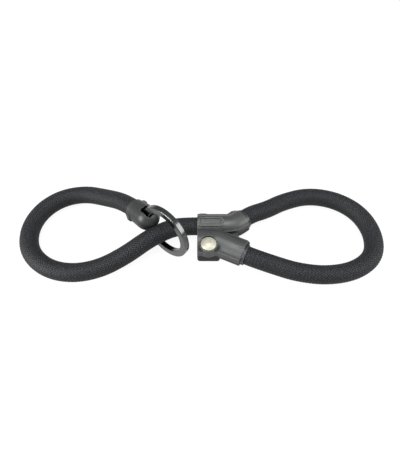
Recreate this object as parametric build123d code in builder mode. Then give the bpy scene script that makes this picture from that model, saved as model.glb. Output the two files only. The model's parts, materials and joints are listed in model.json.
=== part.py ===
from build123d import *

import os
from math import cos, radians, sin, tan

# Slip loop of braided rope: one rope makes a noose, runs through a moulded Y fitting, makes a
# handle loop and comes back into the fitting, where a screw clamps its tail. The noose end wears
# a cap whose eye holds a flat ring, and the rope slides through that ring.
# Millimetres. The origin is on the flat underside of the Y fitting, +Z up.

# Rope
ROPE_R = 6.0
SHEATH_T = 1.2
CORE_R = ROPE_R - SHEATH_T
FIT_GAP = 0.05

# Y fitting
LEFT_X = -17.8
AXIS_Z = 9.0
THROUGH_Y = 7.5
THROUGH_BEND_X = 6.0
THROUGH_ANGLE = 38.0
THROUGH_ARM = 7.8
TAIL_Y = -7.4
TAIL_BEND_X = -3.0
TAIL_ANGLE = -25.0
TAIL_ARM = 16.2
BEND_R = 12.0
ARM_R = 8.2
THROUGH_DOME_R = 7.8
TAIL_DOME_R = 7.2
NECK_R = 6.9
NECK_L = 2.2
BORE_R = ROPE_R + FIT_GAP
THROUGH_FLANGE_HALF = 7.2
TAIL_FLANGE_HALF = 8.3
FLANGE_TOP = 13.2
CROTCH_TOP = 10.6
WEB_TOP = 14.8
SHOULDER_Y = -5.2
SHOULDER_Z = 7.4
SHOULDER_R = 9.6
SHOULDER_END_X = -4.5
SHOULDER_TIP_R = 7.3
SHOULDER_TIP_SHIFT = 1.0
WEB_LOW = 2.0
WEB_SLOPE_X = -4.0
WEB_SLOPE = (5, 0, 8)
CROTCH = (9.5, -1.5)
BLOCK_RIGHT_X = -3.0
BLOCK_SIDE = 8.2
BLOCK_FILLET = 3.0
FOOT_X = -4.0
FOOT_L = 18.0
FOOT_W = 9.0
EAR_OUT = 8.9
EAR_LOW = 6.2
EAR_TOP = 11.5
TAIL_END_X = -13.0
TAIL_STOP_L = 1.8

# Label panel, left blank, and its frame
PANEL_X = -8.9
PANEL_TILT = 12.0
PANEL_L = 15.0
PANEL_W = 5.0
PANEL_FRAME = 0.7
PANEL_DEEP = 0.6

# Clamp screw through the tail rope
SCREW_X = -10.6
SCREW_Y = -10.9
SCREW_R = 2.0
SCREW_HEAD_R = 5.0
SCREW_HEAD_H = 2.4
SCREW_HEAD_RIM = 0.5
SCREW_SEAT_Z = 15.7
SEAT_R = 5.4
BOSS_R = 6.0
BOSS_TOP = 16.2
NUT_Z = 0.4
NUT_H = 2.2
NUT_ACROSS = 7.0

# Slip ring, standing on edge and leaning a little
RING_OUTER_R = 19.0
RING_INNER_R = 14.3
RING_T = 3.8
RING_EDGE_R = 0.6
RING_MEAN_R = (RING_OUTER_R + RING_INNER_R) / 2
RING_CENTRE = Vector(-38.0, -3.6, 19.2)
RING_NORMAL = Vector(-0.657, -0.749, 0.080).normalized()
RING_ACROSS = RING_NORMAL.cross(Vector(0, 0, 1)).normalized() * -1
RING_TANGENT = RING_NORMAL.cross(RING_ACROSS).normalized()

# Cap on the noose end; the ring passes up through the eye near its nose
EYE = RING_CENTRE - RING_ACROSS * RING_MEAN_R
CAP_AXIS = Vector(0.713, -0.680, 0.173).normalized()
CAP_SIDE = Vector(0, 0, 1).cross(CAP_AXIS).normalized()
CAP_UP = CAP_AXIS.cross(CAP_SIDE).normalized()
CAP_REACH = 12.6
COLLAR_R = 7.2
COLLAR_L = 1.6
SHOULDER_BEVEL = 0.4
CAP_R = 7.5
EYE_BODY_R = 8.2
NOSE_L = 20.8
CAP_RELIEF = 0.5
SLOT_L = 8.4
SLOT_W = 6.8
SLOT_CORNER = 1.6
SLOT_AHEAD = 1.2
BORE_DEPTH = 7.6
CAP_EAR_X = 2.7
CAP_EAR_L = 4.8
CAP_EAR_OUT = 8.2
CAP_EAR_T = 5.0
CAP_PIN_X = 4.2
CAP_PIN_R = 1.2
CAP_PIN_H = 13.6
CAP_RIVET_SIDE = 7.0
CAP_RIVET_R = 0.7
CAP_RIVET_H = 5.0

# Length of rope that leaves a mouth in line with its channel
STRAIGHT_L = 6.0


def along(start, angle, reach):
    """The point a reach away from start, level with it, in a direction given in degrees."""
    return (
        start[0] + reach * cos(radians(angle)),
        start[1] + reach * sin(radians(angle)),
        start[2],
    )


THROUGH_LEFT = (LEFT_X, THROUGH_Y, AXIS_Z)
THROUGH_BEND = (THROUGH_BEND_X, THROUGH_Y, AXIS_Z)
THROUGH_MOUTH = along(THROUGH_BEND, THROUGH_ANGLE, THROUGH_ARM + NECK_L)
TAIL_LEFT = (TAIL_END_X, TAIL_Y, AXIS_Z)
TAIL_BEND = (TAIL_BEND_X, TAIL_Y, AXIS_Z)
TAIL_MOUTH = along(TAIL_BEND, TAIL_ANGLE, TAIL_ARM + NECK_L)
CAP_MOUTH = tuple(EYE - CAP_AXIS * CAP_REACH)

HANDLE_ROUTE = [
    THROUGH_MOUTH,
    along(THROUGH_MOUTH, THROUGH_ANGLE, STRAIGHT_L),
    (29.2, 21.6, 7.4),
    (43.0, 31.5, 6.0),
    (61.0, 36.4, 6.0),
    (79.8, 32.8, 6.0),
    (94.2, 21.5, 6.0),
    (100.2, 4.2, 6.0),
    (97.2, -13.4, 6.0),
    (83.4, -24.5, 6.0),
    (64.5, -28.4, 6.0),
    (45.5, -25.9, 6.0),
    (30.0, -21.1, 6.8),
    along(TAIL_MOUTH, TAIL_ANGLE, STRAIGHT_L),
    TAIL_MOUTH,
]
NOOSE_ROUTE = [
    THROUGH_LEFT,
    along(THROUGH_LEFT, 180, STRAIGHT_L),
    (-34.5, 3.7, 12.8),
    (-48.0, -5.2, 14.2),
    (-64.0, -15.8, 9.2),
    (-80.5, -23.9, 6.2),
    (-98.0, -27.3, 6.0),
    (-115.0, -22.8, 6.0),
    (-127.6, -10.3, 6.0),
    (-131.2, 6.6, 6.0),
    (-126.2, 22.6, 6.0),
    (-114.6, 34.0, 6.0),
    (-98.5, 37.6, 6.0),
    (-82.6, 32.0, 9.0),
    tuple(EYE - CAP_AXIS * (CAP_REACH + 11.0)),
    CAP_MOUTH,
]


def corner_radii(route):
    """One radius for each corner: 0.45 of the shorter run over the tangent of half the turn."""
    spots = [Vector(*p) for p in route]
    found = []
    for before, here, after in zip(spots, spots[1:], spots[2:]):
        run_in, run_out = here - before, after - here
        half_turn = radians(run_in.get_angle(run_out)) / 2
        found.append(0.45 * min(run_in.length, run_out.length) / tan(half_turn))
    return found


def path_along(route, radii):
    """Straight runs joined by tangent arcs."""
    with BuildLine() as line:
        FilletPolyline(*route, radius=radii)
    return line.wires()[0]


def rope_tube(path, outer, inner=0.0):
    """A rope layer swept along a path: a tube, or a rod when inner is 0."""
    with BuildPart() as tube:
        with BuildSketch(Plane(origin=path @ 0, z_dir=path % 0)):
            Circle(outer)
            if inner:
                Circle(inner, mode=Mode.SUBTRACT)
        sweep(path=path)
    return tube


def write(builder, label):
    """Label a finished sub-part and write it as its own STEP."""
    builder.part.label = label
    export_step(builder.part, f"parts/{label}.step")


os.makedirs("parts", exist_ok=True)

through_path = path_along([THROUGH_LEFT, THROUGH_BEND, THROUGH_MOUTH], BEND_R)
tail_path = path_along([TAIL_LEFT, TAIL_BEND, TAIL_MOUTH], BEND_R)
handle_radii = corner_radii(HANDLE_ROUTE)
noose_radii = corner_radii(NOOSE_ROUTE)
handle_path = path_along(HANDLE_ROUTE, handle_radii)
noose_path = path_along(NOOSE_ROUTE, noose_radii)
crossing_path = path_along(NOOSE_ROUTE[:6], noose_radii[:4])
print("handle rope radii", [round(r, 1) for r in handle_radii], "length", round(handle_path.length, 1))
print("noose rope radii", [round(r, 1) for r in noose_radii], "length", round(noose_path.length, 1))

# ---- Rope, in the stretches that lie between the fittings ----
FULL_STRETCHES = {
    "through_rope": through_path,
    "tail_rope": tail_path,
    "handle_rope": handle_path,
    "noose_rope": noose_path,
}
for name, path in FULL_STRETCHES.items():
    for layer, outer, inner in (
        ("sheath", ROPE_R, CORE_R),
        ("core", CORE_R - FIT_GAP, 0.0),
    ):
        stretch = rope_tube(path, outer, inner)
        if name == "tail_rope":
            with stretch:
                with Locations((SCREW_X, SCREW_Y, AXIS_Z)):
                    Cylinder(SCREW_R + FIT_GAP, 2 * ROPE_R + 2, mode=Mode.SUBTRACT)
        write(stretch, f"{name}_{layer}")


# ---- Y fitting ----
TAIL_WALL_X = TAIL_END_X - TAIL_STOP_L - FIT_GAP
THROUGH_ARM_END = along(THROUGH_BEND, THROUGH_ANGLE, THROUGH_ARM)
TAIL_ARM_END = along(TAIL_BEND, TAIL_ANGLE, TAIL_ARM)
TAIL_EDGE = (LEFT_X, TAIL_Y, AXIS_Z)
through_arm = path_along([THROUGH_LEFT, THROUGH_BEND, THROUGH_ARM_END], BEND_R)
tail_arm = path_along([TAIL_EDGE, TAIL_BEND, TAIL_ARM_END], BEND_R)
tail_neck = path_along([TAIL_EDGE, TAIL_BEND, TAIL_MOUTH], BEND_R)
through_bore = path_along(
    [
        along(THROUGH_LEFT, 180, 1),
        THROUGH_BEND,
        along(THROUGH_MOUTH, THROUGH_ANGLE, 1),
    ],
    BEND_R,
)
tail_bore = path_along(
    [
        (TAIL_WALL_X, TAIL_Y, AXIS_Z),
        TAIL_BEND,
        along(TAIL_MOUTH, TAIL_ANGLE, 1),
    ],
    BEND_R,
)
bores = rope_tube(through_bore, BORE_R).part + rope_tube(tail_bore, BORE_R).part


def web_outline(right_x):
    """The plan of the web between the channels, as far as right_x along the upper one."""
    with BuildSketch() as plan:
        with BuildLine():
            Polyline(TAIL_EDGE[:2], THROUGH_LEFT[:2], (right_x, THROUGH_Y), CROTCH, TAIL_BEND[:2], close=True)
        make_face()
    return plan.sketch


def band_outline():
    """A flange band of even width along each channel."""
    with BuildSketch() as plan:
        for start, bend, mouth, half_width in (
            (THROUGH_LEFT, THROUGH_BEND, THROUGH_ARM_END, THROUGH_FLANGE_HALF),
            (TAIL_EDGE, TAIL_BEND, TAIL_ARM_END, TAIL_FLANGE_HALF),
        ):
            with BuildLine() as spine:
                FilletPolyline(start[:2], bend[:2], mouth[:2], radius=BEND_R)
            trace(lines=spine.line, line_width=2 * half_width)
    return plan.sketch


def ear(start, angle, first, last, side, low, high):
    """A rounded ear on one side of a channel, between two distances along it."""
    middle = along(start, angle, (first + last) / 2)
    centre = along(middle, angle + 90 * side, EAR_OUT / 2 + 1.5)
    with BuildPart() as made:
        with BuildSketch(Plane(origin=(centre[0], centre[1], low), x_dir=along((0, 0, 0), angle, 1))):
            RectangleRounded(last - first, EAR_OUT - 3.0, 1.4)
        extrude(amount=high - low)
    return made.part


EARS = (
    (THROUGH_LEFT, 0.0, 0.6, 7.0, 1),
    (THROUGH_BEND, THROUGH_ANGLE, 0.6, 7.6, 1),
    (TAIL_BEND, TAIL_ANGLE, 12.8, 17.6, 1),
)
PIN_SPOTS = [
    (LEFT_X + 3.8, THROUGH_Y + 7.4),
    along(along(THROUGH_BEND, THROUGH_ANGLE, 4.1), THROUGH_ANGLE + 90, 7.4)[:2],
    (LEFT_X + 3.8, (THROUGH_Y + TAIL_Y) / 2),
    (5.0, -1.6),
]
PIN_R = 0.8
PIN_L = 4.0


def pin_holes():
    """Holes for the locating pins, half in each shell."""
    with Locations([(x, y, AXIS_Z) for x, y in PIN_SPOTS]):
        Cylinder(PIN_R + FIT_GAP, PIN_L + 2 * FIT_GAP, mode=Mode.SUBTRACT)


with BuildPart() as bottom_shell:
    with BuildSketch():
        with BuildLine():
            Polyline(
                (LEFT_X, TAIL_Y - BLOCK_SIDE),
                (LEFT_X, THROUGH_Y + THROUGH_DOME_R),
                (BLOCK_RIGHT_X, THROUGH_Y + THROUGH_DOME_R),
                (BLOCK_RIGHT_X, TAIL_Y - BLOCK_SIDE),
                close=True,
            )
        make_face()
    extrude(amount=AXIS_Z)
    fillet(bottom_shell.edges().filter_by(Axis.Z), 1.5)
    fillet(bottom_shell.faces().sort_by(Axis.Z)[0].edges(), BLOCK_FILLET)
    for arm in (through_arm, tail_arm):
        add(rope_tube(arm, ARM_R).part)
    for neck in (through_path, tail_neck):
        add(rope_tube(neck, NECK_R).part)
    with BuildSketch(Plane.XY.offset(WEB_LOW)):
        add(web_outline(THROUGH_BEND_X))
    extrude(amount=AXIS_Z - WEB_LOW)
    with BuildSketch():
        with Locations((FOOT_X, 0)):
            RectangleRounded(FOOT_L, FOOT_W, 2.0)
    extrude(amount=WEB_LOW)
    for spot in EARS:
        add(ear(*spot, EAR_LOW, AXIS_Z))
    split(bisect_by=Plane.XY.offset(AXIS_Z), keep=Keep.BOTTOM)
    add(bores, mode=Mode.SUBTRACT)
    pin_holes()
    with Locations((SCREW_X, SCREW_Y, AXIS_Z / 2)):
        Cylinder(SCREW_R + FIT_GAP, AXIS_Z + 2, mode=Mode.SUBTRACT)
    with BuildSketch(Plane.XY):
        with Locations((SCREW_X, SCREW_Y)):
            RegularPolygon(NUT_ACROSS / 2 + FIT_GAP, 6, major_radius=False)
    extrude(amount=NUT_Z + NUT_H, mode=Mode.SUBTRACT)
write(bottom_shell, "fitting_bottom_shell")

panel_plane = Plane(
    origin=(
        PANEL_X,
        THROUGH_Y - THROUGH_DOME_R * sin(radians(PANEL_TILT)),
        AXIS_Z + THROUGH_DOME_R * cos(radians(PANEL_TILT)),
    ),
    x_dir=(1, 0, 0),
    z_dir=(0, -sin(radians(PANEL_TILT)), cos(radians(PANEL_TILT))),
)

with BuildPart() as sloping_web:
    with BuildSketch(Plane.XY.offset(AXIS_Z)):
        add(web_outline(THROUGH_BEND_X))
    extrude(amount=WEB_TOP - AXIS_Z)
    split(bisect_by=Plane(origin=(WEB_SLOPE_X, 0, WEB_TOP), z_dir=WEB_SLOPE), keep=Keep.BOTTOM)

SHOULDER_START = (LEFT_X, SHOULDER_Y, SHOULDER_Z)
SHOULDER_END = (SHOULDER_END_X, SHOULDER_Y, SHOULDER_Z)
SHOULDER_TIP = along(TAIL_ARM_END, TAIL_ANGLE + 90, SHOULDER_TIP_SHIFT)
with BuildPart() as tail_shoulder:
    with BuildSketch(Plane(origin=SHOULDER_START, z_dir=(1, 0, 0))):
        Circle(SHOULDER_R)
    extrude(amount=SHOULDER_END_X - LEFT_X)
    with BuildSketch(Plane(origin=SHOULDER_END, z_dir=(1, 0, 0))):
        Circle(SHOULDER_R)
    with BuildSketch(Plane(origin=SHOULDER_TIP, z_dir=along((0, 0, 0), TAIL_ANGLE, 1))):
        Circle(SHOULDER_TIP_R)
    loft()

with BuildPart() as top_shell:
    for arm, radius in ((through_arm, THROUGH_DOME_R), (tail_arm, TAIL_DOME_R)):
        add(rope_tube(arm, radius).part)
    for neck in (through_path, tail_neck):
        add(rope_tube(neck, NECK_R).part)
    with BuildSketch(Plane.XY.offset(AXIS_Z)):
        add(band_outline())
    extrude(amount=FLANGE_TOP - AXIS_Z)
    with BuildSketch(Plane.XY.offset(AXIS_Z)):
        add(web_outline(THROUGH_BEND_X))
    extrude(amount=CROTCH_TOP - AXIS_Z)
    add(sloping_web.part)
    add(tail_shoulder.part)
    with Locations((SCREW_X, SCREW_Y, AXIS_Z)):
        Cylinder(BOSS_R, BOSS_TOP - AXIS_Z, align=(Align.CENTER, Align.CENTER, Align.MIN))
    for spot in EARS:
        add(ear(*spot, AXIS_Z, EAR_TOP))
    with BuildSketch(panel_plane.offset(-1.5)):
        RectangleRounded(PANEL_L + 2 * PANEL_FRAME, PANEL_W + 2 * PANEL_FRAME, 2.0)
    extrude(amount=1.7)
    with BuildSketch(panel_plane.offset(-PANEL_DEEP)):
        RectangleRounded(PANEL_L, PANEL_W, 1.4)
    extrude(amount=2.0, mode=Mode.SUBTRACT)
    with BuildSketch(panel_plane.offset(-PANEL_DEEP - 0.2)):
        RectangleRounded(PANEL_L - 4.5, 1.6, 0.7)
    extrude(amount=0.5)
    split(bisect_by=Plane.XY.offset(AXIS_Z), keep=Keep.TOP)
    add(bores, mode=Mode.SUBTRACT)
    pin_holes()
    with Locations((SCREW_X, SCREW_Y, AXIS_Z)):
        Cylinder(SCREW_R + FIT_GAP, 2 * AXIS_Z, mode=Mode.SUBTRACT)
    with BuildSketch(Plane.XY.offset(SCREW_SEAT_Z)):
        with Locations((SCREW_X, SCREW_Y)):
            Circle(SEAT_R)
    extrude(amount=BOSS_TOP - SCREW_SEAT_Z + 1, mode=Mode.SUBTRACT)
write(top_shell, "fitting_top_shell")

SCREW_TOP_Z = SCREW_SEAT_Z + SCREW_HEAD_H
with BuildPart() as clamp_screw:
    with BuildSketch(Plane(origin=(SCREW_X, SCREW_Y, 0), x_dir=(1, 0, 0), z_dir=(0, -1, 0))):
        with BuildLine():
            Polyline(
                (0, SCREW_TOP_Z),
                (0, NUT_Z + 0.2),
                (SCREW_R, NUT_Z + 0.2),
                (SCREW_R, SCREW_SEAT_Z),
                (SCREW_HEAD_R, SCREW_SEAT_Z),
                (SCREW_HEAD_R, SCREW_SEAT_Z + SCREW_HEAD_RIM),
            )
            TangentArc((0, SCREW_TOP_Z), (SCREW_HEAD_R, SCREW_SEAT_Z + SCREW_HEAD_RIM), tangent=(1, 0))
        make_face()
    revolve(axis=Axis((SCREW_X, SCREW_Y, 0), (0, 0, 1)))
write(clamp_screw, "clamp_screw")

with BuildPart() as clamp_nut:
    with BuildSketch(Plane.XY.offset(NUT_Z)):
        with Locations((SCREW_X, SCREW_Y)):
            RegularPolygon(NUT_ACROSS / 2, 6, major_radius=False)
            Circle(SCREW_R + FIT_GAP, mode=Mode.SUBTRACT)
    extrude(amount=NUT_H)
write(clamp_nut, "clamp_nut")

with BuildPart() as locating_pins:
    with Locations([(x, y, AXIS_Z) for x, y in PIN_SPOTS]):
        Cylinder(PIN_R, PIN_L)
write(locating_pins, "locating_pins")

with BuildPart() as tail_end_stop:
    with BuildSketch(Plane(origin=TAIL_LEFT, z_dir=(-1, 0, 0))):
        Circle(ROPE_R)
    extrude(amount=TAIL_STOP_L)
    fillet(tail_end_stop.faces().sort_by(Axis.X)[0].edges(), 0.6)
    with Locations((SCREW_X, SCREW_Y, AXIS_Z)):
        Cylinder(SCREW_R + FIT_GAP, 2 * ROPE_R + 2, mode=Mode.SUBTRACT)
write(tail_end_stop, "tail_end_stop")

# ---- Slip ring ----
with BuildPart() as slip_ring:
    with BuildSketch(Plane(origin=RING_CENTRE, x_dir=RING_ACROSS, z_dir=RING_ACROSS.cross(RING_NORMAL))):
        with Locations((RING_MEAN_R, 0)):
            RectangleRounded(RING_OUTER_R - RING_INNER_R, RING_T, RING_EDGE_R)
    revolve(axis=Axis(RING_CENTRE, RING_NORMAL))
write(slip_ring, "slip_ring")

# ---- Cap on the noose end, in two half shells about its own middle plane ----
def cap_plane(reach, height=0.0):
    """A plane across the cap's eye direction: x along the cap, z up through it."""
    return Plane(
        origin=Vector(*CAP_MOUTH) + CAP_AXIS * reach + CAP_UP * height,
        x_dir=CAP_AXIS,
        z_dir=CAP_UP,
    )


def across_cap(reach):
    """A plane square to the cap's axis."""
    return Plane(origin=Vector(*CAP_MOUTH) + CAP_AXIS * reach, x_dir=CAP_UP, z_dir=CAP_AXIS)


with BuildPart() as cap:
    with BuildSketch(cap_plane(0.0)):
        with BuildLine():
            Polyline(
                (NOSE_L, 0),
                (0, 0),
                (0, COLLAR_R),
                (COLLAR_L, COLLAR_R),
                (COLLAR_L, CAP_R - SHOULDER_BEVEL),
                (COLLAR_L + SHOULDER_BEVEL, CAP_R),
                (CAP_REACH, EYE_BODY_R),
            )
            Bezier((CAP_REACH, EYE_BODY_R), (NOSE_L - 4.0, EYE_BODY_R + 0.3), (NOSE_L, 5.2), (NOSE_L, 0))
        make_face()
    revolve(axis=Axis(Vector(*CAP_MOUTH), CAP_AXIS))
    for side in (-1, 1):
        with BuildSketch(cap_plane(CAP_EAR_X, -CAP_EAR_T / 2)):
            with Locations((0, side * CAP_EAR_OUT / 2)):
                RectangleRounded(CAP_EAR_L, CAP_EAR_OUT, 1.4)
        extrude(amount=CAP_EAR_T)
    # The underside is hollowed to ride over the rope that crosses beneath it
    add(rope_tube(crossing_path, ROPE_R + CAP_RELIEF).part, mode=Mode.SUBTRACT)
    with BuildSketch(Plane(origin=EYE + RING_ACROSS * SLOT_AHEAD, x_dir=RING_ACROSS, z_dir=RING_TANGENT)):
        RectangleRounded(SLOT_L, SLOT_W, SLOT_CORNER)
    extrude(amount=EYE_BODY_R + 1, both=True, mode=Mode.SUBTRACT)
    with BuildSketch(across_cap(-1)):
        Circle(BORE_R)
    extrude(amount=BORE_DEPTH + 1, mode=Mode.SUBTRACT)
    with BuildSketch(cap_plane(CAP_PIN_X, 0)):
        Circle(CAP_PIN_R + FIT_GAP)
    extrude(amount=CAP_PIN_H / 2 + FIT_GAP, both=True, mode=Mode.SUBTRACT)
    with BuildSketch(cap_plane(CAP_EAR_X, 0)):
        with Locations((0, CAP_RIVET_SIDE), (0, -CAP_RIVET_SIDE)):
            Circle(CAP_RIVET_R + FIT_GAP)
    extrude(amount=CAP_RIVET_H / 2 + FIT_GAP, both=True, mode=Mode.SUBTRACT)

for label, half in (("cap_upper_shell", Keep.TOP), ("cap_lower_shell", Keep.BOTTOM)):
    with BuildPart() as cap_half:
        add(cap.part)
        split(bisect_by=cap_plane(0), keep=half)
    write(cap_half, label)

for label, outer, inner in (
    ("rope_end_sheath", ROPE_R, CORE_R),
    ("rope_end_core", CORE_R - FIT_GAP, 0.0),
):
    with BuildPart() as rope_end:
        with BuildSketch(across_cap(0)):
            Circle(outer)
            if inner:
                Circle(inner, mode=Mode.SUBTRACT)
        extrude(amount=BORE_DEPTH - FIT_GAP)
        with BuildSketch(cap_plane(CAP_PIN_X, 0)):
            Circle(CAP_PIN_R + FIT_GAP)
        extrude(amount=2 * ROPE_R, both=True, mode=Mode.SUBTRACT)
    write(rope_end, label)

with BuildPart() as cap_cross_pin:
    with BuildSketch(cap_plane(CAP_PIN_X, 0)):
        Circle(CAP_PIN_R)
    extrude(amount=CAP_PIN_H / 2, both=True)
write(cap_cross_pin, "cap_cross_pin")

with BuildPart() as cap_rivets:
    with BuildSketch(cap_plane(CAP_EAR_X, 0)):
        with Locations((0, CAP_RIVET_SIDE), (0, -CAP_RIVET_SIDE)):
            Circle(CAP_RIVET_R)
    extrude(amount=CAP_RIVET_H / 2, both=True)
write(cap_rivets, "cap_rivets")
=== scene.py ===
"""Braided rope slip loop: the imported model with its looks, floor, light and camera. Metres, +Z up."""

import json
import math

import bpy
import numpy as np
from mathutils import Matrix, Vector


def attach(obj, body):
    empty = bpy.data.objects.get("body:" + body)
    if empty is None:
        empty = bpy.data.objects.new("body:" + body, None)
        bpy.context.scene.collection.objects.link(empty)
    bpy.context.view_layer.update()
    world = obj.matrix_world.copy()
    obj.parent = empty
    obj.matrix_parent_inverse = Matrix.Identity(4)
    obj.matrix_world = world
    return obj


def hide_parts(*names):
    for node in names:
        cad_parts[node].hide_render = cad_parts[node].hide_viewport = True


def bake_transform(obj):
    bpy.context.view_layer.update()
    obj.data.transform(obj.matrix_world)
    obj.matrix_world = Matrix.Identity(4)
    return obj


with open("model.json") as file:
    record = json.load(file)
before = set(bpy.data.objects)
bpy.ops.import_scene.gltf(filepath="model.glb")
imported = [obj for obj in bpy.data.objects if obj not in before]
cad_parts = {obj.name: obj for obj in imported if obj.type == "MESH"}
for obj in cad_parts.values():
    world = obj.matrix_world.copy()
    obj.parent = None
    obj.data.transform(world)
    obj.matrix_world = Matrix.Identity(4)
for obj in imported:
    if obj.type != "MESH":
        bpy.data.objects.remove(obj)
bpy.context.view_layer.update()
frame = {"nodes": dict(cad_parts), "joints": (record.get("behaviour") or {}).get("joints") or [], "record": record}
nodes = frame["nodes"]
MM = 0.001

# ---- Camera ----
CAMERA_AT = (-0.016, -0.1492, 0.2302)
CAMERA_TO = (-0.016, 0.0120, 0.0)
LENS = 31.8
CLIP_NEAR, CLIP_FAR = 0.01, 20.0


def place_facing(holder, place, target):
    """Put a camera or a lamp into the scene at a place, facing a target."""
    holder.location = place
    holder.rotation_euler = (Vector(target) - Vector(place)).to_track_quat("-Z", "Y").to_euler()
    bpy.context.scene.collection.objects.link(holder)


camera_data = bpy.data.cameras.new("camera")
camera_data.lens = LENS
camera_data.clip_start, camera_data.clip_end = CLIP_NEAR, CLIP_FAR
camera = bpy.data.objects.new("camera", camera_data)
place_facing(camera, CAMERA_AT, CAMERA_TO)
bpy.context.scene.camera = camera

# ---- Routes of the two free stretches of rope ----
ROOT, CAP = "rope_and_fitting", "slip_cap"
ROPE_R = 6.0 * MM

# The fitting's channels and arms and the cap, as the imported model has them
AXIS_Z = 0.0090
THROUGH_ANGLE, TAIL_ANGLE = math.radians(38), math.radians(-25)
THROUGH_ARM, TAIL_ARM = 0.0078, 0.0162
NECK_L = 0.0022
EYE = Vector(next(joint for joint in frame["joints"] if joint["name"] == "ring_swing")["pos_m"])
CAP_AXIS = Vector((0.713, -0.680, 0.173)).normalized()
CAP_REACH = 0.0126

# Lengths of rope that leave an arm's mouth and the cap's mouth in line with their channels
STRAIGHT_L, CAP_STRAIGHT_L = 0.0060, 0.0110


def along(start, angle, reach):
    """The point a reach away from start, level with it, at an angle."""
    return (start[0] + reach * math.cos(angle), start[1] + reach * math.sin(angle), start[2])


THROUGH_BEND = (0.0060, 0.0075, AXIS_Z)
TAIL_BEND = (-0.0030, -0.0074, AXIS_Z)
THROUGH_ARM_END = along(THROUGH_BEND, THROUGH_ANGLE, THROUGH_ARM)
TAIL_ARM_END = along(TAIL_BEND, TAIL_ANGLE, TAIL_ARM)
THROUGH_MOUTH = along(THROUGH_BEND, THROUGH_ANGLE, THROUGH_ARM + NECK_L)
TAIL_MOUTH = along(TAIL_BEND, TAIL_ANGLE, TAIL_ARM + NECK_L)
THROUGH_LEFT = (-0.0178, 0.0075, AXIS_Z)
CAP_MOUTH = tuple(EYE - CAP_AXIS * CAP_REACH)

# Where the noose is cut into the part that stays on the fitting and the part that slides with the cap
NOOSE_SPLIT = (-0.10635, -0.02475, 0.0060)

HANDLE_ROUTE = [
    THROUGH_MOUTH,
    along(THROUGH_MOUTH, THROUGH_ANGLE, STRAIGHT_L),
    (0.0300, 0.0225, 0.0074),
    (0.0428, 0.0308, 0.0060),
    (0.0610, 0.0364, 0.0060),
    (0.0798, 0.0328, 0.0060),
    (0.0942, 0.0215, 0.0060),
    (0.1002, 0.0042, 0.0060),
    (0.0972, -0.0134, 0.0060),
    (0.0834, -0.0245, 0.0060),
    (0.0645, -0.0284, 0.0060),
    (0.0455, -0.0260, 0.0060),
    (0.0300, -0.0207, 0.0068),
    along(TAIL_MOUTH, TAIL_ANGLE, STRAIGHT_L),
    TAIL_MOUTH,
]
STANDING_ROUTE = [
    THROUGH_LEFT,
    along(THROUGH_LEFT, math.pi, STRAIGHT_L),
    (-0.0345, 0.0037, 0.0128),
    (-0.0480, -0.0052, 0.0142),
    (-0.0640, -0.0158, 0.0092),
    (-0.0805, -0.0239, 0.0062),
    (-0.0980, -0.0270, 0.0060),
    NOOSE_SPLIT,
]
SLIDING_ROUTE = [
    NOOSE_SPLIT,
    (-0.1147, -0.0225, 0.0060),
    (-0.1276, -0.0103, 0.0060),
    (-0.1314, 0.0070, 0.0060),
    (-0.1265, 0.0230, 0.0060),
    (-0.1146, 0.0343, 0.0060),
    (-0.0985, 0.0382, 0.0060),
    (-0.0826, 0.0324, 0.0090),
    tuple(EYE - CAP_AXIS * (CAP_REACH + CAP_STRAIGHT_L)),
    CAP_MOUTH,
]

# ---- Rope: a round braid whose strands stand out of its surface ----
BRAID_STRANDS = 20
SAMPLES_A_PERIOD = 6
SAMPLES_AROUND = BRAID_STRANDS * SAMPLES_A_PERIOD
BRAID_RELIEF = 0.32 * MM
CROWN_PROUD = 0.10 * MM
BRAID_PERIOD = 2 * math.pi * ROPE_R / BRAID_STRANDS
STEP = BRAID_PERIOD / SAMPLES_A_PERIOD
SPLINE_STEPS = 40

# Power of the sine that a strand has for a section; below 1 it is broader on top
STRAND_BREADTH = 0.7

# Height of a strand, as a share of its highest, where it dives under the strands that cross it
DIVE_HEIGHT = 0.55

# Keeps a sample that falls on the border of two strands on the same side of it in every row
BORDER_SLACK = 1e-6


def spline_points(route):
    """Points read from the smooth spline that has the route's points as its control points."""
    curve = bpy.data.curves.new("route", "CURVE")
    curve.dimensions = "3D"
    curve.resolution_u = SPLINE_STEPS
    spline = curve.splines.new("NURBS")
    spline.points.add(len(route) - 1)
    for point, place in zip(spline.points, route):
        point.co = (*place, 1.0)
    spline.order_u = 3
    spline.use_endpoint_u = True
    holder = bpy.data.objects.new("route", curve)
    mesh = bpy.data.meshes.new_from_object(holder)
    points = np.array([vertex.co[:] for vertex in mesh.vertices])
    bpy.data.objects.remove(holder)
    bpy.data.curves.remove(curve)
    bpy.data.meshes.remove(mesh)
    return points


def even_steps(points, step):
    """The same line with points close to one step apart, its ends kept."""
    reach = np.concatenate([[0.0], np.cumsum(np.linalg.norm(np.diff(points, axis=0), axis=1))])
    count = round(reach[-1] / step) + 1
    places = np.linspace(0.0, reach[-1], count)
    return np.stack([np.interp(places, reach, points[:, k]) for k in range(3)], axis=1)


def carried_frames(points):
    """Two unit vectors across the line at each point, carried along it without twisting."""
    ahead = np.gradient(points, axis=0)
    ahead /= np.linalg.norm(ahead, axis=1)[:, None]
    side = np.cross(ahead[0], (0.0, 0.0, 1.0))
    across = []
    for direction in ahead:
        side = side - direction * side.dot(direction)
        side = side / np.linalg.norm(side)
        across.append(side)
    across = np.array(across)
    return across, np.cross(ahead, across)


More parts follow.
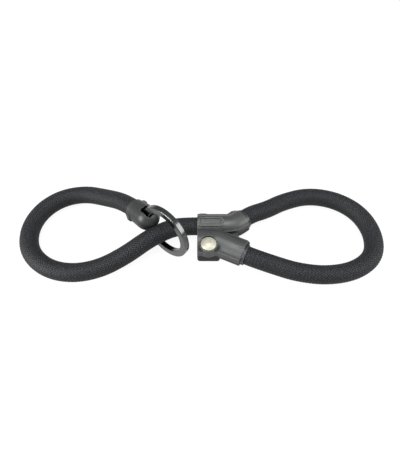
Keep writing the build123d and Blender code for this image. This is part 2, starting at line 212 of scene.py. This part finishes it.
def strand_height(periods, turns):
    """Height of the braid from 0 in the gaps to 1 on the crowns: two sets of crossing strands."""
    first, second = turns + periods, turns - periods
    first_is_over = (np.floor(first + BORDER_SLACK) + np.floor(second + BORDER_SLACK)) % 2 > 0.5
    across = np.where(first_is_over, first, second)
    onward = np.where(first_is_over, second, first)
    crown = np.sin(np.pi * (across % 1.0)) ** STRAND_BREADTH
    swell = DIVE_HEIGHT + (1.0 - DIVE_HEIGHT) * np.sin(np.pi * (onward % 1.0))
    return crown * swell


def tube_faces(rows):
    """Faces between rows of vertices round a tube, closed at each end on one more vertex."""
    faces = []
    for row in range(rows - 1):
        start, after = row * SAMPLES_AROUND, (row + 1) * SAMPLES_AROUND
        for j in range(SAMPLES_AROUND):
            k = (j + 1) % SAMPLES_AROUND
            faces.append((start + j, start + k, after + k, after + j))
    first_end, last_end = rows * SAMPLES_AROUND, rows * SAMPLES_AROUND + 1
    last_row = (rows - 1) * SAMPLES_AROUND
    for j in range(SAMPLES_AROUND):
        k = (j + 1) % SAMPLES_AROUND
        faces.append((first_end, k, j))
        faces.append((last_end, last_row + j, last_row + k))
    return faces


def braided_rope(name, points, first_row, frames):
    """A closed tube along the points with the braid raised on it, and what its material reads:
    crown, the strands' height, and weave, the place counted in strands and periods."""
    across, upward = (vectors[:, None] for vectors in frames)
    angles = np.arange(SAMPLES_AROUND) * 2 * math.pi / SAMPLES_AROUND
    rows = np.arange(len(points)) + first_row
    turns, periods = np.meshgrid(angles * BRAID_STRANDS / (2 * math.pi), rows / SAMPLES_A_PERIOD)
    height = strand_height(periods, turns)
    radius = ROPE_R + CROWN_PROUD - BRAID_RELIEF * (1.0 - height)
    outward = across * np.cos(angles)[None, :, None] + upward * np.sin(angles)[None, :, None]
    skin = (points[:, None] + outward * radius[..., None]).reshape(-1, 3)
    vertices = np.concatenate([skin, points[:1], points[-1:]])
    mesh = bpy.data.meshes.new(name)
    mesh.from_pydata(vertices.tolist(), [], tube_faces(len(points)))
    mesh.shade_smooth()
    crown = mesh.attributes.new("crown", "FLOAT", "POINT")
    crown.data.foreach_set("value", np.append(height, [0.0, 0.0]).astype(np.float32))
    weave = mesh.attributes.new("weave", "FLOAT_VECTOR", "POINT")
    places = np.stack([turns, periods, np.zeros_like(turns)], axis=-1)
    weave.data.foreach_set("vector", np.append(places, np.zeros((2, 3))).astype(np.float32))
    rope = bpy.data.objects.new(name, mesh)
    bpy.context.scene.collection.objects.link(rope)
    return rope


handle_points, standing_points, sliding_points = (
    even_steps(spline_points(route), STEP) for route in (HANDLE_ROUTE, STANDING_ROUTE, SLIDING_ROUTE)
)
noose_points = np.concatenate([standing_points, sliding_points[1:]])
noose_across, noose_upward = carried_frames(noose_points)
split = len(standing_points) - 1
standing_frames = noose_across[:split + 1], noose_upward[:split + 1]
sliding_frames = noose_across[split:], noose_upward[split:]

# The sliding stretch counts its rows on from the standing one, so that their braids meet
handle_rope = braided_rope("handle_rope", handle_points, 0, carried_frames(handle_points))
standing_rope = braided_rope("standing_rope", standing_points, 0, standing_frames)
sliding_rope = braided_rope("sliding_rope", sliding_points, split, sliding_frames)

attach(handle_rope, ROOT)
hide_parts("handle_rope_sheath", "handle_rope_core")

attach(standing_rope, ROOT)
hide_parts("noose_rope_sheath", "noose_rope_core")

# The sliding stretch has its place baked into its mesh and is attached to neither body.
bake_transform(sliding_rope)

# ---- Materials ----
EDGE_SOFTNESS = 0.35 * MM
SCREW_PIP = (-0.0096, -0.0106, 0.0180)

# The range that most values of a noise lie in
NOISE_SPAN = (0.3, 0.7)

# Share of the sky that a crease and an open face see
CREASE_SKY, OPEN_SKY = 0.35, 0.95

# Likeness of the rounded normal to the true one on an open face and on an edge
FACE_LIKENESS, EDGE_LIKENESS = 0.99, 0.90

# Half the width of the border between two finishes
BORDER_HALF = 0.05 * MM

# Places of a mix node's sockets when it mixes colours
MIX_FACTOR, MIX_FIRST, MIX_SECOND, MIX_RESULT = 0, 6, 7, 2


class Material:
    """A node material with short calls for the nodes that the materials here are made of.
    Its keyword arguments are sockets of the shader, with _ for a space."""

    def __init__(self, name, **sockets):
        self.material = bpy.data.materials.new(name)
        self.material.use_nodes = True
        self.tree = self.material.node_tree
        self.shader = self.tree.nodes["Principled BSDF"]
        for socket, value in sockets.items():
            self.shader.inputs[socket.replace("_", " ")].default_value = value

    def node(self, kind, inputs=None, **settings):
        """A new node with its settings made and its inputs linked to other nodes or set."""
        made = self.tree.nodes.new(kind)
        for key, value in settings.items():
            setattr(made, key, value)
        for key, value in (inputs or {}).items():
            if isinstance(value, bpy.types.NodeSocket):
                self.tree.links.new(value, made.inputs[key])
            else:
                made.inputs[key].default_value = value
        return made

    def here(self):
        """The place on the piece, measured from the part's origin."""
        return self.node("ShaderNodeTexCoord").outputs["Object"]

    def noise(self, scale, detail=3.0, roughness=0.5, vector=None):
        inputs = {
            "Vector": vector or self.here(), "Scale": scale, "Detail": detail, "Roughness": roughness
        }
        return self.node("ShaderNodeTexNoise", inputs).outputs["Fac"]

    def math(self, operation, first, second=0.0):
        return self.node("ShaderNodeMath", {0: first, 1: second}, operation=operation).outputs[0]

    def vector_math(self, operation, first, second, output):
        made = self.node("ShaderNodeVectorMath", {0: first, 1: second}, operation=operation)
        return made.outputs[output]

    def spread(self, value, low, high, to_low=0.0, to_high=1.0):
        """Maps low to to_low and high to to_high, and goes no further at either end."""
        inputs = {
            "Value": value, "From Min": low, "From Max": high, "To Min": to_low, "To Max": to_high
        }
        return self.node("ShaderNodeMapRange", inputs).outputs["Result"]

    def mix(self, factor, first, second):
        """The first colour where the factor is 0, turning into the second where it is 1."""
        inputs = {MIX_FACTOR: factor, MIX_FIRST: first, MIX_SECOND: second}
        return self.node("ShaderNodeMix", inputs, data_type="RGBA").outputs[MIX_RESULT]

    def colour(self, output):
        self.tree.links.new(output, self.shader.inputs["Base Color"])

    def rough(self, output):
        self.tree.links.new(output, self.shader.inputs["Roughness"])

    def bump(self, height, distance, strength=1.0, edge=0.0):
        """Small relief, on edges that are rounded off by a radius when edge is given."""
        inputs = {"Height": height, "Distance": distance, "Strength": strength}
        if edge:
            inputs["Normal"] = self.rounded_normal(edge, samples=6)
        bumped = self.node("ShaderNodeBump", inputs)
        self.tree.links.new(bumped.outputs["Normal"], self.shader.inputs["Normal"])

    def rounded_normal(self, radius, samples):
        """The normal that the surface would have with its edges rounded off."""
        return self.node("ShaderNodeBevel", {"Radius": radius}, samples=samples).outputs["Normal"]

    def true_normal(self):
        return self.node("ShaderNodeNewGeometry").outputs["Normal"]

    def facing_up(self, low, high):
        """0 where the normal's upward part is below low, rising to 1 where it is above high."""
        upward = self.node("ShaderNodeSeparateXYZ", {"Vector": self.true_normal()}).outputs["Z"]
        return self.spread(upward, low, high)

    def openness(self, reach):
        """0 in creases and recesses, 1 on surfaces with nothing within reach above them."""
        sky = self.node("ShaderNodeAmbientOcclusion", {"Distance": reach}, samples=8)
        return self.spread(sky.outputs["AO"], CREASE_SKY, OPEN_SKY)

    def edges(self, radius):
        """1 along edges and in creases that a bevel of this radius would round, 0 on open faces."""
        rounded = self.rounded_normal(radius, samples=8)
        likeness = self.vector_math("DOT_PRODUCT", rounded, self.true_normal(), "Value")
        return self.spread(likeness, FACE_LIKENESS, EDGE_LIKENESS)

    def beyond(self, place, direction):
        """1 on the far side of a plane through a place, square to a direction, else 0."""
        offset = self.vector_math("SUBTRACT", self.here(), place, "Vector")
        reach = self.vector_math("DOT_PRODUCT", offset, direction, "Value")
        return self.spread(reach, -BORDER_HALF, BORDER_HALF)

    def near(self, place, inner, outer):
        """1 within the inner distance of a place on the piece, falling to 0 at the outer one."""
        reach = self.vector_math("DISTANCE", self.here(), place, "Value")
        return self.spread(reach, inner, outer, 1.0, 0.0)


def rope_material():
    """Black multifilament braid with fine yarns along the strands: painted shade in the gaps and on the steep
    sides, painted light on the up-facing tops.
    """
    painted_gap_shade = (0.0006, 0.0007, 0.0008, 1)
    painted_shade_side, painted_light_top = (0.007, 0.008, 0.010, 1), (0.037, 0.041, 0.048, 1)
    yarn_contrast, fleck_contrast = 0.18, 0.40
    rope = Material(
        "rope_braid", Roughness=0.62, Specular_IOR_Level=0.24, Sheen_Weight=0.03, Sheen_Roughness=0.5
    )
    crown = rope.node("ShaderNodeAttribute", attribute_name="crown").outputs["Fac"]
    weave = rope.node("ShaderNodeAttribute", attribute_name="weave").outputs["Vector"]
    yarns = rope.noise(9.0, 2.0, 0.6, weave)
    flecks = rope.noise(2.4, 2.0, 0.6, weave)
    shade = rope.math("ADD", crown, rope.spread(yarns, *NOISE_SPAN, -yarn_contrast, yarn_contrast))
    shade = rope.math("ADD", shade, rope.spread(flecks, 0.35, 0.65, -fleck_contrast, fleck_contrast))
    # Painted light and shade: the strands are paler where they face up and darker on their steep sides.
    painted_lit_strand = rope.mix(rope.facing_up(-0.1, 0.8), painted_shade_side, painted_light_top)
    # Painted shade: the braid's gaps are darkened towards the gap colour by the strands' height.
    rope.colour(rope.mix(rope.spread(shade, 0.4, 1.2), painted_gap_shade, painted_lit_strand))
    rope.rough(rope.spread(yarns, *NOISE_SPAN, 0.50, 0.70))
    rope.bump(yarns, 0.06 * MM, 0.6)
    return rope.material


def moulding_material(name, gloss, painted_light_share):
    """Satin black moulded plastic with a faint grain: painted light pales faces that look up and are open, painted
    shade keeps creases, steep sides and the fitting's two necks dark, and open up-facing edges are paler, part
    wear and part painted highlight."""
    shaded_tone_dark, shaded_tone_light = (0.006, 0.0065, 0.0065, 1), (0.010, 0.0105, 0.0105, 1)
    painted_lit_dark, painted_lit_light = (0.032, 0.0335, 0.0335, 1), (0.044, 0.0455, 0.0455, 1)
    wear_and_highlight, wear_and_highlight_share = (0.17, 0.175, 0.175, 1), 0.6
    moulding = Material(name, Roughness=0.38, Specular_IOR_Level=gloss)
    grain = moulding.noise(5200.0, 2.0, 0.6)
    cloud = moulding.noise(130.0, 4.0, 0.55)
    shaded_tone = moulding.mix(cloud, shaded_tone_dark, shaded_tone_light)
    painted_lit_tone = moulding.mix(cloud, painted_lit_dark, painted_lit_light)
    # Painted light: faces that look up with open sky above them get the paler tone; creases and steep sides keep
    # the darker tone as painted shade.
    painted_light_mask = moulding.math("MULTIPLY", moulding.facing_up(0.15, 0.65), moulding.openness(3.0 * MM))
    # Painted shadow: the fitting's two necks, where the rope shades them, get none of the painted light and stay
    # dark.
    for end, angle in ((THROUGH_ARM_END, THROUGH_ANGLE), (TAIL_ARM_END, TAIL_ANGLE)):
        painted_neck_shadow = moulding.beyond(end, (math.cos(angle), math.sin(angle), 0.0))
        painted_light_mask = moulding.math("SUBTRACT", painted_light_mask, painted_neck_shadow)
    body = moulding.mix(moulding.math("MULTIPLY", painted_light_mask, painted_light_share), shaded_tone, painted_lit_tone)
    # Edges that face up and are open to the sky are painted paler: partly wear, partly painted highlight.
    top_edge = moulding.math("MULTIPLY", moulding.edges(0.5 * MM), moulding.facing_up(-0.2, 0.5))
    open_edge = moulding.math("MULTIPLY", top_edge, moulding.openness(2.0 * MM))
    moulding.colour(moulding.mix(moulding.math("MULTIPLY", open_edge, wear_and_highlight_share), body, wear_and_highlight))
    moulding.rough(moulding.spread(cloud, *NOISE_SPAN, 0.36, 0.48))
    moulding.bump(grain, 0.02 * MM, 0.5, EDGE_SOFTNESS)
    return moulding.material


def ring_material():
    """Dark nickel plating, polished, with faint tarnish and hairline marks."""
    tarnished, bright = (0.085, 0.087, 0.087, 1), (0.120, 0.121, 0.121, 1)
    ring = Material("ring_nickel", Metallic=1.0, Roughness=0.16)
    cloud = ring.noise(160.0, 4.0, 0.6)
    hair = ring.noise(2600.0, 2.0, 0.5)
    ring.colour(ring.mix(cloud, tarnished, bright))
    ring.rough(ring.spread(cloud, *NOISE_SPAN, 0.14, 0.26))
    ring.bump(hair, 0.008 * MM, 0.4)
    return ring.material


def screw_material():
    """Pale brass-cream screw with a small dark pip near the middle of its head."""
    cream_dark, cream_light = (0.41, 0.40, 0.305, 1), (0.49, 0.485, 0.395, 1)
    pip_colour, pip_share = (0.16, 0.15, 0.11, 1), 0.75
    screw = Material("screw_pale_brass", Metallic=0.2, Roughness=0.42)
    cloud = screw.noise(420.0, 3.0, 0.6)
    cream = screw.mix(cloud, cream_dark, cream_light)
    pip = screw.near(SCREW_PIP, 0.35 * MM, 0.75 * MM)
    screw.colour(screw.mix(screw.math("MULTIPLY", pip, pip_share), cream, pip_colour))
    screw.rough(screw.spread(cloud, *NOISE_SPAN, 0.36, 0.50))
    screw.bump(cloud, 0.02 * MM, 0.5)
    return screw.material


def plain_material(name, dark, light, roughness, metallic=0.0):
    """A mottled material for pieces that are all but hidden."""
    plain = Material(name, Metallic=metallic, Roughness=roughness)
    plain.colour(plain.mix(plain.noise(300.0), dark, light))
    return plain.material


def give(piece, material):
    piece.data.materials.clear()
    piece.data.materials.append(material)


rope_finish = rope_material()
# The cap and the lower shells get less painted top light; the lower shells, whose side walls sit in shade, are a
# darker shaded copy with a lower specular level too.
moulding_finish = moulding_material("moulded_plastic", 0.64, 1.0)
cap_finish = moulding_material("moulded_plastic_cap", 0.38, 0.55)
shaded_underside_finish = moulding_material("moulded_plastic_underside", 0.12, 0.5)
steel_finish = plain_material("hidden_steel", (0.30, 0.31, 0.32, 1), (0.42, 0.42, 0.43, 1), 0.35, 1.0)
core_finish = plain_material("rope_fibre", (0.42, 0.42, 0.40, 1), (0.55, 0.55, 0.53, 1), 0.8)
stop_finish = plain_material("stop_rubber", (0.02, 0.02, 0.02, 1), (0.04, 0.04, 0.04, 1), 0.7)
inner_finish = plain_material("rope_hidden", (0.012, 0.013, 0.015, 1), (0.03, 0.032, 0.036, 1), 0.65)
FINISHES = {
    "rope_sheath": inner_finish,
    "rope_core": core_finish,
    "moulding": moulding_finish,
    "screw": screw_material(),
    "steel": steel_finish,
    "ring": ring_material(),
    "end_stop": stop_finish,
}
for subpart in frame["record"]["subparts"]:
    give(nodes[subpart["node"]], FINISHES[subpart["material_slot"]])
give(nodes["cap_upper_shell"], cap_finish)
for node in ("fitting_bottom_shell", "cap_lower_shell"):
    give(nodes[node], shaded_underside_finish)
for rope in (handle_rope, standing_rope, sliding_rope):
    give(rope, rope_finish)

# ---- Floor ----
FLOOR_HALF = 3.0
FLOOR_DROP = 0.3 * MM
FLOOR_GLOW = 0.91

floor_corners = [
    (-FLOOR_HALF, -FLOOR_HALF, 0.0),
    (FLOOR_HALF, -FLOOR_HALF, 0.0),
    (FLOOR_HALF, FLOOR_HALF, 0.0),
    (-FLOOR_HALF, FLOOR_HALF, 0.0),
]
floor_mesh = bpy.data.meshes.new("floor")
floor_mesh.from_pydata(floor_corners, [], [(0, 1, 2, 3)])
floor = bpy.data.objects.new("floor", floor_mesh)
floor.location.z = -FLOOR_DROP
bpy.context.scene.collection.objects.link(floor)
paper = Material("paper_white", Roughness=0.9, Emission_Color=(1, 1, 1, 1), Emission_Strength=FLOOR_GLOW)
paper.colour(paper.mix(paper.noise(4.0), (0.09, 0.09, 0.09, 1), (0.11, 0.11, 0.11, 1)))
give(floor, paper.material)

# ---- Light and sky ----
LAMP_SIZE = 0.6
OVERHEAD_POWER, LEFT_POWER, RIGHT_POWER = 6.3, 15.5, 6.5
HORIZON, ZENITH = 0.36, 0.48
SKY_COLOUR = (0.97, 0.98, 1.0, 1)


def soft_light(name, place, power, target=(0.0, 0.0, 0.0)):
    """A large square lamp that faces a target."""
    lamp = bpy.data.lights.new(name, "AREA")
    lamp.shape, lamp.size, lamp.energy = "SQUARE", LAMP_SIZE, power
    place_facing(bpy.data.objects.new(name, lamp), place, target)


soft_light("overhead", (0.0, -0.08, 1.0), OVERHEAD_POWER, (-0.02, 0.0, 0.0))
soft_light("left", (-0.85, -0.42, 0.42), LEFT_POWER)
soft_light("right", (0.86, -0.14, 0.50), RIGHT_POWER)

world = bpy.data.worlds.new("studio")
world.use_nodes = True
sky = world.node_tree
direction = sky.nodes.new("ShaderNodeTexCoord")
height = sky.nodes.new("ShaderNodeSeparateXYZ")
strength = sky.nodes.new("ShaderNodeMapRange")
strength.inputs["To Min"].default_value = HORIZON
strength.inputs["To Max"].default_value = ZENITH
sky.links.new(direction.outputs["Generated"], height.inputs["Vector"])
sky.links.new(height.outputs["Z"], strength.inputs["Value"])
sky.links.new(strength.outputs["Result"], sky.nodes["Background"].inputs["Strength"])
sky.nodes["Background"].inputs["Color"].default_value = SKY_COLOUR
bpy.context.scene.world = world
bpy.context.scene.view_settings.view_transform = "Standard"
